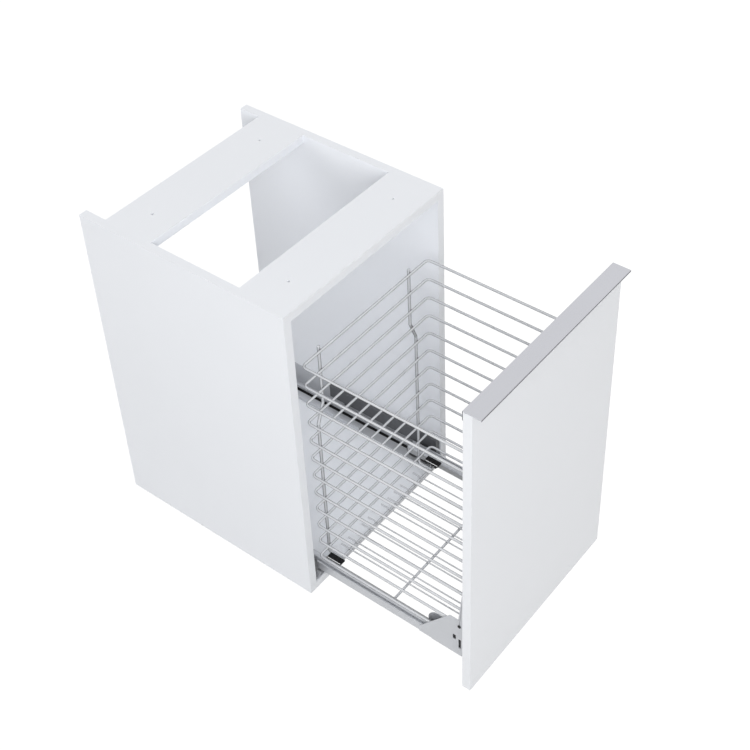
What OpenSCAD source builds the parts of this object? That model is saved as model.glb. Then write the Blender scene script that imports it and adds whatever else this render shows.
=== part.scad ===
// Pull-out base cabinet: an open-backed carcass with a wire basket on bottom-mounted runners.
// The model is in millimetres, +Z up, with the front towards -Y and the drawer pulled out.
// The origin is the centre of the carcass footprint, on its underside.

/* [Carcass] */
// Width over both side panels
cab_w = 450; // [400:1:600]
// Depth from the front edge to the open back
cab_d = 490; // [470:1:560]
// Height of the side panels
cab_h = 720; // [700:1:800]
// Thickness of the carcass boards
board_t = 18; // [16:0.5:19]
// Thickness of the edge bands on the front edges
band_t = 1; // [0.5:0.1:2]
// Front-to-back width of each top stretcher
stretcher_d = 114; // [90:1:130]
// Distance of the rear stretcher from the back edge
rear_inset = 50; // [20:1:70]
// Diameter of the worktop fixing holes in the stretchers
worktop_hole_d = 5; // [4:0.5:7]
// Distance of the worktop fixing holes from the middle of the cabinet
worktop_hole_x = 145; // [100:1:160]

/* [Joinery] */
// Diameter of the wooden dowels
dowel_d = 8; // [6:1:8]
// Length of the wooden dowels
dowel_l = 30; // [25:1:35]
// Diameter of the cam discs
cam_d = 15; // [12:0.5:15]
// Depth of the cam discs in the boards
cam_h = 12.5; // [11:0.5:14]
// Distance of a cam disc's centre from the board's end
cam_inset = 34; // [24:1:34]
// Distance of the dowels from the cam bolt of the same board end
dowel_offset = 32; // [20:1:40]
// Distance of the bottom panel's cams from its middle
bottom_cam_y = 170; // [120:1:180]
// Clearance around a screw, dowel or bolt in its hole, on the radius
hole_play = 0.05; // [0.02:0.01:0.1]

/* [Front] */
// Gap beside the front panel, on each side of the cabinet
front_side_gap = 1.5; // [1:0.1:3]
// Distance of the front panel's top below the cabinet's top
front_top_gap = 4; // [2:0.5:8]
// Thickness of the front panel
front_t = 18; // [16:0.5:22]
// Height of the front panel's lower edge above the underside
front_z = 2; // [0:0.5:6]
// Gap between the closed front panel and the carcass
front_gap = 2; // [1.5:0.1:4]
// Travel of the drawer from open to closed
travel = 362.7; // [300:0.1:370]

/* [Handle] */
// Overhang of the handle plate in front of the panel
handle_reach = 17; // [10:1:30]
// Thickness of the handle plate
handle_t = 2; // [1.5:0.1:3]
// Height of the handle's grip lip, plate included
handle_lip = 4; // [3:0.5:12]
// Thickness of the handle's lip and rear leg
handle_leg_t = 1.2; // [1:0.1:1.4]
// Height of the handle's rear leg below the plate
handle_leg_h = 18; // [12:1:30]

/* [Basket] */
// Diameter of the bent side wires
loop_wire_d = 5; // [4:0.5:6]
// Number of bent side wires
loop_count = 12; // [6:1:12]
// Vertical distance between the side wires
loop_pitch = 46.1; // [40:0.1:48]
// Height of the lowest side wire's centre
loop_z = 68; // [66:0.5:75]
// Distance of the loops' side wires from the drawer profiles' outer faces
basket_inset = 3.9; // [3:0.1:8]
// Depth from the front panel to the centre of the rear wires
basket_d = 373; // [350:1:380]
// Radius of the loops' corners at the wire's centre
loop_bend_r = 9; // [6:0.5:20]
// Diameter of the upright rods
rod_d = 6; // [5:0.5:7]
// Distance of the rear rods' feet from the drawer profiles' inner faces
rod_inset = 17.8; // [14:0.1:30]
// Sideways jog of the rear rods
rod_jog = 17; // [5:1:17]
// Bend radius of the rear rods' feet
rod_bend_r = 10; // [6:1:14]
// Height of the rods above the highest side wire
rod_over = 9; // [5:1:20]
// Diameter of the floor wires
floor_wire_d = 3; // [2.5:0.5:4]
// Number of floor wires
floor_count = 12; // [8:1:14]
// Distance of the outermost floor wires from the rear rods' feet
floor_margin = 29.75; // [10:0.25:40]
// Height of the cross wires' centres
cross_z = 37; // [36.5:0.5:40]
// Distance of the rear cross wire from the rear side wires
cross_inset = 21.5; // [15:0.5:40]
// Distance between the cross wires
cross_pitch = 145.5; // [120:0.5:150]

/* [Runners] */
// Length of the profiles fixed to the side panels
cab_rail_l = 445; // [440:1:460]
// Distance of the fixed profiles from the carcass front
cab_rail_y = 2; // [1:0.5:6]
// Height of the fixed profiles' webs above the bottom panel
cab_rail_h = 56; // [50:1:64]
// Length of the drawer profiles
rail_l = 420; // [400:1:425]
// Width of the drawer profiles
rail_w = 20.6; // [19:0.1:22]
// Distance of the drawer profiles' outer face from the side panels
rail_gap = 20.6; // [20:0.1:21.4]
// Height of the drawer profiles' lower edge above the bottom panel
rail_z = 13; // [12:0.5:14]
// Height of the drawer profiles
rail_h = 20.1; // [19:0.1:22]
// Sheet thickness of the profiles and brackets
sheet_t = 1.2; // [1:0.1:1.5]
// Radial play between a roller and the surfaces that it rolls on
roller_play = 0.3; // [0.2:0.05:0.5]
// Diameter of the rollers' axle pins
axle_d = 6; // [4:0.5:8]
// Length of the roller carriages
carriage_l = 58; // [56:1:70]
// Length of the soft-close housings
damper_l = 293; // [250:1:300]
// Width of the soft-close housings
damper_w = 10.5; // [9:0.5:12]
// Height of the soft-close housings
damper_h = 34; // [30:1:38]
// Travel of the soft-close plunger blocks
plunger_travel = 45; // [30:1:50]

/* [Fixings] */
// Shank diameter of the screws into the side panels
rail_screw_d = 6; // [5:0.5:7]
// Shank diameter of the screws into the front panel
front_screw_d = 4; // [3:0.5:5]
// Shank diameter of the handle screws
handle_screw_d = 3.5; // [3:0.5:4]

/* [Hidden] */
$fn = 48;
inner_x = cab_w / 2 - board_t;
front_y = -cab_d / 2;
back_y = cab_d / 2;
stretcher_z = cab_h - board_t;
front_stretcher_y = front_y + stretcher_d / 2;
rear_stretcher_y = back_y - rear_inset - stretcher_d / 2;

// The drawer is drawn pulled out, so its parts lie one travel in front of their closed places.
panel_y = front_y - front_gap - travel;
front_w = cab_w - 2 * front_side_gap;
panel_top = cab_h - front_top_gap;

// The drawer profile is a channel that is open below, with a groove behind its outer wall.
rail_out = inner_x - rail_gap;
rail_in = rail_out - rail_w;
rail_z0 = board_t + rail_z;
rail_z1 = rail_z0 + rail_h;
rail_bow = 3;
groove_w = 8.1;
groove_d = 6.1;
inner_wall_h = 16.3;
wall_x = rail_out - groove_w;
groove_z = rail_z1 - groove_d;
rail_front_gap = 2.7;
rail_front_y = panel_y + rail_front_gap;
dot_hole_d = 2.4;
dot_hole_up = 1.6;
dot_hole_z = groove_z + dot_hole_up;
dot_hole_back = 4;

// The basket hangs between the drawer profiles, and a small gap keeps its welded wires apart.
weld_gap = 0.05;
rear_run_y = panel_y + basket_d;
loop_x = rail_out - basket_inset;
loop_top_z = loop_z + (loop_count - 1) * loop_pitch;
rod_y = rear_run_y + (loop_wire_d + rod_d) / 2 + weld_gap;
rod_low_x = rail_in - rod_inset;
rod_top_x = rod_low_x - rod_jog;
rod_top_z = loop_top_z + rod_over;
rod_joint_d = rod_d + 0.3;
rod_tip_d = rod_d - 2;
rod_tip_h = 1;
jog_top_z = loop_z + 8.2 * loop_pitch;
jog_low_z = loop_z + 7.25 * loop_pitch;
jog_l = norm([rod_jog, jog_top_z - jog_low_z]);
jog_turn = atan2(rod_jog, jog_top_z - jog_low_z);
front_rod_x = loop_x - (loop_wire_d + rod_d) / 2 - weld_gap;
front_rod_inset = 12;
front_rod_y = panel_y + front_rod_inset;
cross_y = rear_run_y - cross_inset;
cross_rows = [for (k = [0:2]) cross_y - k * cross_pitch];
floor_z = cross_z + (loop_wire_d + floor_wire_d) / 2 + weld_gap;
floor_pitch = 2 * (rod_low_x - floor_margin) / (floor_count - 1);
floor_front_gap = 20;
floor_front_y = panel_y + floor_front_gap;
foot_z = cross_z + (loop_wire_d + rod_d) / 2 + weld_gap;
foot_over = 7;

// The fixed profile stands on the bottom panel against the side panel.
web_t = 1.5;
base_z = board_t + web_t;
cab_rail_y0 = front_y + cab_rail_y;
plate_gap = 3;
cab_rail_in = rail_in - plate_gap;
guide_h = 10;
guide_out = rail_out + 8;
guide_lip_x = rail_out + 2;
guide_lip_z = board_t + guide_h - web_t;
track_lip = 7.5;
track_start = 188;

// The rollers run between the fixed profile's base and the underside of the drawer profile's top.
roller_gap_h = rail_z1 - sheet_t - base_z;
roller_r = roller_gap_h / 2 - roller_play;
roller_z = base_z + roller_gap_h / 2;
roller_side = 0.3;
roller_out = wall_x - rail_bow - roller_side;
roller_w = 4;
roller_in = roller_out - roller_w;
collar_l = 2.4;
carriage_x = roller_out + collar_l;
carriage_t = 2.4;
carriage_gap = 1.5;
carriage_z = base_z + carriage_gap;
carriage_play = 0.8;
carriage_top = groove_z - sheet_t - carriage_play;
carriage_from = 4;
carriage_y = cab_rail_y0 + carriage_from;
roller_apart = 1.2;
roller_pitch = 2 * roller_r + roller_apart;
carriage_rollers = [for (s = [-1, 1]) carriage_y + (carriage_l + s * roller_pitch) / 2];
axle_head_d = 8;
axle_head_t = 1.2;

// The shoe on a drawer profile's tail runs between the fixed profile's base and its guide lip.
shoe_l = 20;
shoe_play = 0.5;
shoe_neck_t = 1.5;
shoe_pad_h = 6;
shoe_y1 = rail_front_y + rail_l - 2;

// The soft-close housing hangs on the fixed profile's web.
web_x = inner_x - web_t;
damper_z1 = board_t + cab_rail_h;
damper_z0 = damper_z1 - damper_h;
damper_y = cab_rail_y0 + 2;
damper_wall = 1.2;
cylinder_d = 8;
cylinder_spare = 45;
cylinder_l = plunger_travel + cylinder_spare;
cylinder_from = 150;
cylinder_y = damper_y + cylinder_from;
cylinder_end = 8;
cylinder_foot = 4;
piston_rod_d = 2.5;
piston_in = 12;
plunger_l = 20;
plunger_from = 34;
plunger_y = damper_y + plunger_from;
damper_axis_x = web_x - damper_w / 2 + damper_wall / 2;
damper_axis_z = damper_z0 + damper_h * 0.62;
plunger_play = 0.4;
plunger_x = web_x - damper_w + damper_wall + plunger_play;

// The front brackets hold the profiles to the front panel, and the strips above hold the basket.
bracket_t = 1.5;
bracket_h = 102;
bracket_l = 126;
bracket_tail_h = 14;
bracket_top_l = 54;
bracket_in = rail_in - plate_gap;
bracket_out = rail_out + bracket_t;
front_screw_x = (bracket_in + bracket_out) / 2;
screw_hole_d = front_screw_d + 0.5;
inner_plate_l = 121;
inner_plate_h = 45;
inner_plate_r = 24;
strip_z = 82;
strip_h = 305;
strip_w = 36;
strip_tip = 12;
tall_hole = [7, 13];
tall_hole_at = [40, 40];
slot_hole = [5.5, 26];
slot_hole_at = [28.5, 20];
rivet_d = 4.4;
rivet_inset = 5;
rivet_head_d = 7;
rivet_head_h = 1;
rivet_y = panel_y + strip_w - rivet_inset;
rivet_z = rail_z0 + strip_z + rivet_inset;

clip_l = 35;
clip_w = 13;
clip_t = 2;
clip_gap = 3.5;
clip_lip = 3;
clip_lip_t = 1;
clip_hook_l = 12;
clip_hook_t = 3;
clip_hook_below = 6;

rail_screw_up = 7.5;
rail_screw_z = base_z + rail_screw_up;
rail_screw_l = 12;
rail_head_d = 10;
rail_head_h = 2;
rail_screw_front = 35;
rail_screw_back = 26;
rail_screw_apart = 160;
rail_screw_at = [rail_screw_front, cab_rail_l - rail_screw_back - rail_screw_apart,
                 cab_rail_l - rail_screw_back];
shelf_hole_d = 5;
shelf_hole_l = 8;
shelf_hole_y = -2;
shelf_hole_z = 160;
front_screw_l = 14;
front_head_d = 8;
front_head_h = 2.4;
bracket_screws = [65, 91];
strip_screws = [149, 279];
handle_screw_l = 13;
handle_head_d = 6.2;
handle_screw_inset = 53.5;
handle_screw_x = [for (s = [-1:1]) s * (front_w / 2 - handle_screw_inset)];
rod_clip_w = 16;
rod_clip_h = 12;
rod_clip_wall = 2;
rod_clip_z = loop_top_z - loop_pitch / 2;
pad_d = 9;
pad_t = 1.6;
pad_drop = 20;

white = "#f2f3f5";
gloss = "#f7f8fa";
edge = "#fafafa";
zinc = "#b9bdc2";
wire = "#c9ccd0";
dark = "#55575c";
black = "#1a1a1c";
birch = "#d9bd8b";

sides = ["left", "right"];
loop_names = [for (i = [1:loop_count]) str("basket_loop_", i)];

// Draws its children on the right as they are, and mirrored for the left.
module on_side(side) {
    if (side == "right") children();
    else mirror([1, 0, 0]) children();
}

module box(from, to) {
    translate(from) cube(to - from);
}

module rod_x(x0, x1, y, z, d) {
    translate([x0, y, z]) rotate([0, 90, 0]) cylinder(h = x1 - x0, d = d);
}

module rod_along_y(y0, y1, x, z, d) {
    translate([x, y0, z]) rotate([-90, 0, 0]) cylinder(h = y1 - y0, d = d);
}

module upright(x, y, z0, z1) {
    translate([x, y, z0]) cylinder(h = z1 - z0, d = rod_d);
}

module rod_tip(x, y) {
    translate([x, y, rod_top_z - rod_tip_h]) cylinder(h = rod_tip_h, d1 = rod_d, d2 = rod_tip_d);
}

// A section drawn as [x, z] points and drawn out along Y.
module along_y(y0, y1) {
    translate([0, y1, 0]) rotate([90, 0, 0]) linear_extrude(y1 - y0) children();
}

// An outline drawn as [y, z] points and given a thickness along X.
module along_x(x0, x1) {
    translate([x0, 0, 0]) rotate([90, 0, 90]) linear_extrude(x1 - x0) children();
}

// Where the boards' ends are joined: [y, z, side of the board that the cam disc enters].
stretcher_joints = [[front_stretcher_y, stretcher_z + board_t / 2, stretcher_z],
                    [rear_stretcher_y, stretcher_z + board_t / 2, stretcher_z]];
bottom_joints = [[-bottom_cam_y, board_t / 2, 0], [bottom_cam_y, board_t / 2, 0]];
cam_joints = concat(stretcher_joints, bottom_joints);
dowel_joints = concat(
    [for (j = stretcher_joints, s = [-1, 1]) [j[0] + s * dowel_offset, j[1]]],
    [for (j = bottom_joints) [j[0] - sign(j[0]) * dowel_offset, j[1]]]);

bolt_in_side = 11;
bolt_thread_d = 8;
bolt_shank_d = 6;
bolt_head_d = 7;
dowel_half = dowel_l / 2;

module joint_holes() {
    for (s = [-1, 1]) {
        for (j = cam_joints) {
            rod_x_to(s, inner_x - 0.01, inner_x + bolt_in_side, j[0], j[1], bolt_thread_d + 2 * hole_play);
            rod_x_to(s, inner_x - cam_inset, inner_x + 0.01, j[0], j[1], bolt_thread_d);
            translate([s * (inner_x - cam_inset), j[0], j[2] - 0.01])
                cylinder(h = cam_h + 0.01, d = cam_d + 2 * hole_play);
        }
        for (j = dowel_joints)
            rod_x_to(s, inner_x - dowel_half - 1, inner_x + min(dowel_half, board_t - 4) + 0.5,
                     j[0], j[1], dowel_d + 2 * hole_play);
    }
}

module rod_x_to(s, x0, x1, y, z, d) {
    if (s > 0) rod_x(x0, x1, y, z, d);
    else rod_x(-x1, -x0, y, z, d);
}

module side_panel(side) {
    color(white) on_side(side) difference() {
        box([inner_x, front_y + band_t, 0], [cab_w / 2, back_y, cab_h]);
        joint_holes();
        for (y = rail_screw_at)
            rod_x(inner_x - 1, inner_x + rail_screw_l, cab_rail_y0 + y, rail_screw_z,
                  rail_screw_d + 2 * hole_play);
        rod_x(inner_x - 1, inner_x + shelf_hole_l, shelf_hole_y, shelf_hole_z, shelf_hole_d);
    }
}

module bottom_panel() {
    color(white) difference() {
        box([-inner_x, front_y + band_t, 0], [inner_x, back_y, board_t]);
        joint_holes();
    }
}

module stretcher(y, front_cut) {
    color(white) difference() {
        box([-inner_x, y - stretcher_d / 2 + front_cut, stretcher_z],
            [inner_x, y + stretcher_d / 2, cab_h]);
        joint_holes();
        for (s = [-1, 1])
            translate([s * worktop_hole_x, y, stretcher_z - 1])
                cylinder(h = board_t + 2, d = worktop_hole_d);
    }
}

module front_stretcher() stretcher(front_stretcher_y, band_t);
module rear_stretcher() stretcher(rear_stretcher_y, 0);

module edge_bands() {
    color(edge) {
        for (s = [-1, 1])
            translate([s * (inner_x + board_t / 2), front_y + band_t / 2, cab_h / 2])
                cube([board_t, band_t, cab_h], center = true);
        for (z = [0, stretcher_z])
            box([weld_gap - inner_x, front_y, z], [inner_x - weld_gap, front_y + band_t, z + board_t]);
    }
}

module dowels() {
    color(birch) for (s = [-1, 1], j = dowel_joints)
        rod_x_to(s, inner_x - dowel_half, inner_x + min(dowel_half, board_t - 4), j[0], j[1], dowel_d);
}

module cam_bolts() {
    color(zinc) for (s = [-1, 1], j = cam_joints) {
        rod_x_to(s, inner_x, inner_x + bolt_in_side - 0.5, j[0], j[1], bolt_thread_d);
        rod_x_to(s, inner_x - cam_inset + 3, inner_x, j[0], j[1], bolt_shank_d - 1);
        rod_x_to(s, inner_x - cam_inset, inner_x - cam_inset + 3, j[0], j[1], bolt_head_d);
    }
}

module cam_discs() {
    color(zinc) for (s = [-1, 1], j = cam_joints) difference() {
        translate([s * (inner_x - cam_inset), j[0], j[2]]) cylinder(h = cam_h, d = cam_d);
        rod_x_to(s, inner_x - cam_inset - 1, inner_x, j[0], j[1], bolt_head_d + 0.6);
    }
}

// Cross-section of the fixed profile, with its web, base and outer guide.
module fixed_section() {
    translate([web_x, board_t]) square([web_t, cab_rail_h]);
    translate([cab_rail_in, board_t]) square([inner_x - cab_rail_in, web_t]);
    translate([guide_out - web_t, board_t]) square([web_t, guide_h]);
    translate([guide_lip_x, guide_lip_z]) square([guide_out - guide_lip_x, web_t]);
}

// The inner track lip, which the fixed profile has along its rear part only.
module track_section() {
    translate([cab_rail_in, board_t]) square([web_t, guide_h]);
    translate([cab_rail_in, guide_lip_z]) square([track_lip, web_t]);
}

module cabinet_profile(side) {
    color(zinc) on_side(side) difference() {
        union() {
            along_y(cab_rail_y0, cab_rail_y0 + cab_rail_l) fixed_section();
            along_y(cab_rail_y0 + track_start, cab_rail_y0 + cab_rail_l) track_section();
        }
        for (y = rail_screw_at)
            rod_x(web_x - 1, inner_x + 1, cab_rail_y0 + y, rail_screw_z, rail_screw_d + 1);
    }
}

module profile_screws() {
    color(zinc) for (s = [-1, 1], y = rail_screw_at) {
        rod_x_to(s, web_x, inner_x + rail_screw_l - 0.5, cab_rail_y0 + y, rail_screw_z, rail_screw_d);
        rod_x_to(s, web_x - rail_head_h, web_x, cab_rail_y0 + y, rail_screw_z, rail_head_d);
    }
}

module damper_housing(side) {
    color(dark) on_side(side) difference() {
        box([web_x - damper_w, damper_y, damper_z0], [web_x, damper_y + damper_l, damper_z1]);
        box([web_x - damper_w + damper_wall, damper_y + damper_wall, damper_z0 + damper_wall],
            [web_x + 1, damper_y + damper_l - damper_wall, damper_z1 - damper_wall]);
    }
}

module damper_cylinder(side) {
    color(black) on_side(side) difference() {
        union() {
            rod_along_y(cylinder_y, cylinder_y + cylinder_l, damper_axis_x, damper_axis_z, cylinder_d);
            box([web_x - damper_w + damper_wall, cylinder_y + cylinder_l, damper_axis_z - cylinder_d / 2],
                [web_x, cylinder_y + cylinder_l + cylinder_foot, damper_axis_z + cylinder_d / 2]);
        }
        rod_along_y(cylinder_y - 1, cylinder_y + cylinder_l - cylinder_end, damper_axis_x, damper_axis_z,
                    piston_rod_d + 2 * hole_play);
    }
}

// The block that the drawer draws along, with the damper's piston rod.
module damper_plunger(side) {
    color(black) on_side(side) {
        box([plunger_x, plunger_y, damper_z0 + damper_wall + plunger_play],
            [web_x - plunger_play, plunger_y + plunger_l, damper_z1 - damper_wall - plunger_play]);
        rod_along_y(plunger_y + plunger_l, cylinder_y + piston_in, damper_axis_x, damper_axis_z,
                    piston_rod_d);
    }
}

module roller_carriage(side) {
    color(dark) on_side(side) {
        head_x = roller_in - roller_side;
        box([carriage_x, carriage_y, carriage_z],
            [carriage_x + carriage_t, carriage_y + carriage_l, carriage_top]);
        for (y = carriage_rollers) {
            rod_x(head_x, roller_out + roller_side, y, roller_z, axle_d);
            rod_x(roller_out + roller_side, carriage_x, y, roller_z, axle_head_d);
            rod_x(head_x - axle_head_t, head_x, y, roller_z, axle_head_d);
        }
    }
}

module roller(side, y) {
    color(black) on_side(side) difference() {
        rod_x(roller_in, roller_out, y, roller_z, 2 * roller_r);
        rod_x(roller_in - 1, roller_out + 1, y, roller_z, axle_d + 2 * hole_play);
    }
}

module front_roller(side) roller(side, carriage_rollers[0]);
module rear_roller(side) roller(side, carriage_rollers[1]);

// Points of a rounded corner of the drawer profile's top.
function bow(cx, r, a0, a1) = [for (i = [0:6]) let (a = a0 + (a1 - a0) * i / 6)
    [cx + r * cos(a), rail_z1 - rail_bow + r * sin(a)]];

module drawer_section() {
    out_x = wall_x - rail_bow;
    in_x = rail_in + rail_bow;
    inner_z = rail_z1 - inner_wall_h;
    polygon(concat(
        [[rail_out - sheet_t, rail_z0], [rail_out, rail_z0], [rail_out, rail_z1],
         [rail_out - 2 * sheet_t, rail_z1], [rail_out - 2 * sheet_t, groove_z], [wall_x, groove_z]],
        bow(out_x, rail_bow, 0, 90),
        bow(in_x, rail_bow, 90, 180),
        [[rail_in, inner_z], [rail_in + sheet_t, inner_z]],
        bow(in_x, rail_bow - sheet_t, 180, 90),
        bow(out_x, rail_bow - sheet_t, 90, 0),
        [[wall_x - sheet_t, groove_z - sheet_t], [rail_out - sheet_t, groove_z - sheet_t]]));
}

module drawer_profile(side) {
    color(zinc) on_side(side) difference() {
        along_y(rail_front_y, rail_front_y + rail_l) drawer_section();
        for (k = [0, 1])
            rod_x(wall_x - sheet_t - 1, wall_x + 1, cross_rows[k] - dot_hole_back, dot_hole_z, dot_hole_d);
    }
}

module guide_shoe(side) {
    x0 = rail_out - sheet_t;
    neck_x = rail_out + shoe_neck_t;
    y0 = shoe_y1 - shoe_l;
    color(black) on_side(side) {
        box([x0, y0, base_z + shoe_play],
            [guide_out - web_t - shoe_play, shoe_y1, guide_lip_z - shoe_play]);
        box([x0, y0, base_z + shoe_play], [neck_x, shoe_y1, rail_z0]);
        box([rail_out, y0, rail_z0], [neck_x, shoe_y1, rail_z0 + shoe_pad_h]);
    }
}

// A flat clip over the drawer profile's edge, with a hook that holds the rear cross wire's end.
module rail_clip(side) {
    y1 = rear_run_y - clip_gap;
    color(black) on_side(side) difference() {
        union() {
            box([rail_in - clip_w, y1 - clip_l, rail_z1 - clip_t], [rail_in, y1, rail_z1 + clip_lip_t]);
            box([rail_in - clip_hook_t, cross_y - clip_hook_l / 2, cross_z - clip_hook_below],
                [rail_in, cross_y + clip_hook_l / 2, rail_z1 - clip_t]);
            box([rail_in, y1 - clip_l, rail_z1], [rail_in + clip_lip, y1, rail_z1 + clip_lip_t]);
        }
        rod_x(rail_in - clip_w - 1, rail_in + 1, cross_y, cross_z, loop_wire_d + 2 * hole_play);
    }
}

// Outlines of a bracket's plates in [y, z], measured from the front panel and the plate's foot.
module outer_outline() {
    polygon([[0, 0], [bracket_l, 0], [bracket_l, bracket_tail_h], [bracket_top_l, bracket_h],
             [0, bracket_h]]);
}

module inner_outline() {
    flat_l = inner_plate_l - inner_plate_r;
    round_z = inner_plate_h - inner_plate_r;
    translate([0, -bracket_t]) square([inner_plate_l, bracket_t + round_z]);
    translate([flat_l, round_z]) circle(r = inner_plate_r);
    square([flat_l, inner_plate_h]);
}

module front_bracket(side) {
    color(zinc) on_side(side) difference() {
        translate([0, panel_y, rail_z0]) {
            along_x(rail_out, bracket_out) outer_outline();
            along_x(bracket_in, bracket_in + bracket_t) inner_outline();
            box([bracket_in, 0, -bracket_t], [bracket_out, bracket_t, bracket_h]);
            box([bracket_in, 0, -bracket_t], [bracket_out, inner_plate_l - inner_plate_r, 0]);
        }
        for (z = bracket_screws) flange_hole(z);
        rod_x(bracket_in - 1, bracket_in + bracket_t + 1, cross_rows[2], cross_z,
              loop_wire_d + 2 * hole_play);
        outer_plate_hole(tall_hole_at, tall_hole);
        outer_plate_hole(slot_hole_at, slot_hole);
        rivet_hole();
    }
}

// A rectangular hole, placed and sized in [y, z] as the plate's outline is.
module outer_plate_hole(at, size) {
    translate([rail_out - 1, panel_y + at[0], rail_z0 + at[1]]) cube([bracket_t + 2, size[0], size[1]]);
}

// A screw hole through a flange that lies against the front panel.
module flange_hole(z) {
    rod_along_y(panel_y - 1, panel_y + bracket_t + 1, front_screw_x, rail_z0 + z, screw_hole_d);
}

module rivet_hole() {
    rod_x(rail_out - 1, bracket_out + bracket_t + 1, rivet_y, rivet_z, rivet_d + 2 * hole_play);
}

// The narrowing strip above a bracket, with a flange against the front panel.
module upright_strip(side) {
    color(zinc) on_side(side) difference() {
        translate([0, panel_y, rail_z0]) {
            along_x(bracket_out, bracket_out + bracket_t) polygon([
                [0, strip_z], [strip_w, strip_z], [strip_tip, strip_h], [0, strip_h]]);
            box([bracket_in, 0, bracket_h + 1], [bracket_out + bracket_t, bracket_t, strip_h]);
        }
        for (z = strip_screws) flange_hole(z);
        rivet_hole();
    }
}

module strip_rivets() {
    color(zinc) for (s = [-1, 1]) {
        rod_x_to(s, rail_out, bracket_out + bracket_t, rivet_y, rivet_z, rivet_d);
        rod_x_to(s, bracket_out + bracket_t, bracket_out + bracket_t + rivet_head_h,
                 rivet_y, rivet_z, rivet_head_d);
    }
}

module rear_rod(side) {
    bend_y = rod_y - rod_bend_r;
    color(wire) on_side(side) {
        rod_tip(rod_top_x, rod_y);
        upright(rod_top_x, rod_y, jog_top_z, rod_top_z - rod_tip_h);
        translate([rod_top_x, rod_y, jog_top_z]) {
            sphere(d = rod_joint_d);
            rotate([0, 180 - jog_turn, 0]) cylinder(h = jog_l, d = rod_d);
        }
        translate([rod_low_x, rod_y, jog_low_z]) sphere(d = rod_joint_d);
        upright(rod_low_x, rod_y, foot_z + rod_bend_r, jog_low_z);
        translate([rod_low_x, bend_y, foot_z + rod_bend_r]) rotate([0, 90, 0])
            rotate_extrude(angle = 90) translate([rod_bend_r, 0]) circle(d = rod_d);
        rod_along_y(cross_y - foot_over, bend_y, rod_low_x, foot_z, rod_d);
    }
}

module front_rod(side) {
    color(wire) on_side(side) {
        rod_tip(front_rod_x, front_rod_y);
        upright(front_rod_x, front_rod_y, rail_z1, rod_top_z - rod_tip_h);
    }
}

module rod_clips() {
    color(dark) for (side = sides) on_side(side) difference() {
        box([front_rod_x - rod_clip_w / 2, panel_y, rod_clip_z - rod_clip_h / 2],
            [front_rod_x + rod_clip_w / 2, front_rod_y + rod_d / 2 + rod_clip_wall,
             rod_clip_z + rod_clip_h / 2]);
        translate([front_rod_x, front_rod_y, rod_clip_z - rod_clip_h])
            cylinder(h = 2 * rod_clip_h, d = rod_d + 2 * hole_play);
    }
}

module cross_wires() {
    color(wire) for (y = cross_rows) rod_x(-rail_in, rail_in, y, cross_z, loop_wire_d);
}

module floor_wires() {
    color(wire) for (i = [0:floor_count - 1])
        rod_along_y(floor_front_y, rear_run_y, (i - (floor_count - 1) / 2) * floor_pitch, floor_z,
                    floor_wire_d);
}

module basket_loop(i) {
    z = loop_z + (loop_count - i) * loop_pitch;
    color(wire) {
        for (s = [-1, 1]) {
            rod_along_y(front_rod_y - rod_d / 2, rear_run_y - loop_bend_r, s * loop_x, z, loop_wire_d);
            translate([s * (loop_x - loop_bend_r), rear_run_y - loop_bend_r, z])
                rotate([0, 0, s > 0 ? 0 : 90])
                    rotate_extrude(angle = 90) translate([loop_bend_r, 0]) circle(d = loop_wire_d);
        }
        rod_x(loop_bend_r - loop_x, loop_x - loop_bend_r, rear_run_y, z, loop_wire_d);
    }
}

module front_panel() {
    color(gloss) difference() {
        box([-front_w / 2, panel_y - front_t, front_z], [front_w / 2, panel_y, panel_top]);
        for (s = [-1, 1], z = concat(bracket_screws, strip_screws))
            rod_along_y(panel_y - front_screw_l, panel_y + 1, s * front_screw_x, rail_z0 + z,
                        front_screw_d + 2 * hole_play);
        for (x = handle_screw_x)
            rod_along_y(panel_y - handle_screw_l, panel_y + 1, x, panel_top - handle_leg_h / 2,
                        handle_screw_d + 2 * hole_play);
    }
}

module handle_profile() {
    color("silver") difference() {
        along_x(-front_w / 2, front_w / 2) translate([panel_y, panel_top]) {
            translate([-front_t - handle_reach, 0]) square([front_t + handle_reach + handle_leg_t, handle_t]);
            translate([-front_t - handle_reach, handle_t - handle_lip]) square([handle_leg_t, handle_lip]);
            translate([0, -handle_leg_h]) square([handle_leg_t, handle_leg_h + handle_t]);
        }
        for (x = handle_screw_x)
            translate([x, panel_y + handle_leg_t, panel_top - handle_leg_h / 2]) rotate([90, 0, 0])
                cylinder(h = handle_leg_t, d1 = handle_head_d + 2 * hole_play,
                         d2 = handle_screw_d + 0.4 + 2 * hole_play);
    }
}

module handle_screws() {
    color(zinc) for (x = handle_screw_x)
        translate([x, panel_y + handle_leg_t, panel_top - handle_leg_h / 2]) rotate([90, 0, 0]) {
            cylinder(h = handle_leg_t, d1 = handle_head_d, d2 = handle_screw_d + 0.4);
            cylinder(h = handle_leg_t + handle_screw_l - 1, d = handle_screw_d);
        }
}

module front_screws() {
    color(zinc) for (s = [-1, 1], z = concat(bracket_screws, strip_screws)) {
        rod_along_y(panel_y - front_screw_l + 0.5, panel_y + bracket_t, s * front_screw_x, rail_z0 + z,
                    front_screw_d);
        rod_along_y(panel_y + bracket_t, panel_y + bracket_t + front_head_h, s * front_screw_x,
                    rail_z0 + z, front_head_d);
    }
}

module bumper_pads() {
    color("lightgray") for (s = [-1, 1])
        rod_along_y(panel_y, panel_y + pad_t, s * (inner_x + board_t / 2), stretcher_z - pad_drop, pad_d);
}

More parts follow.
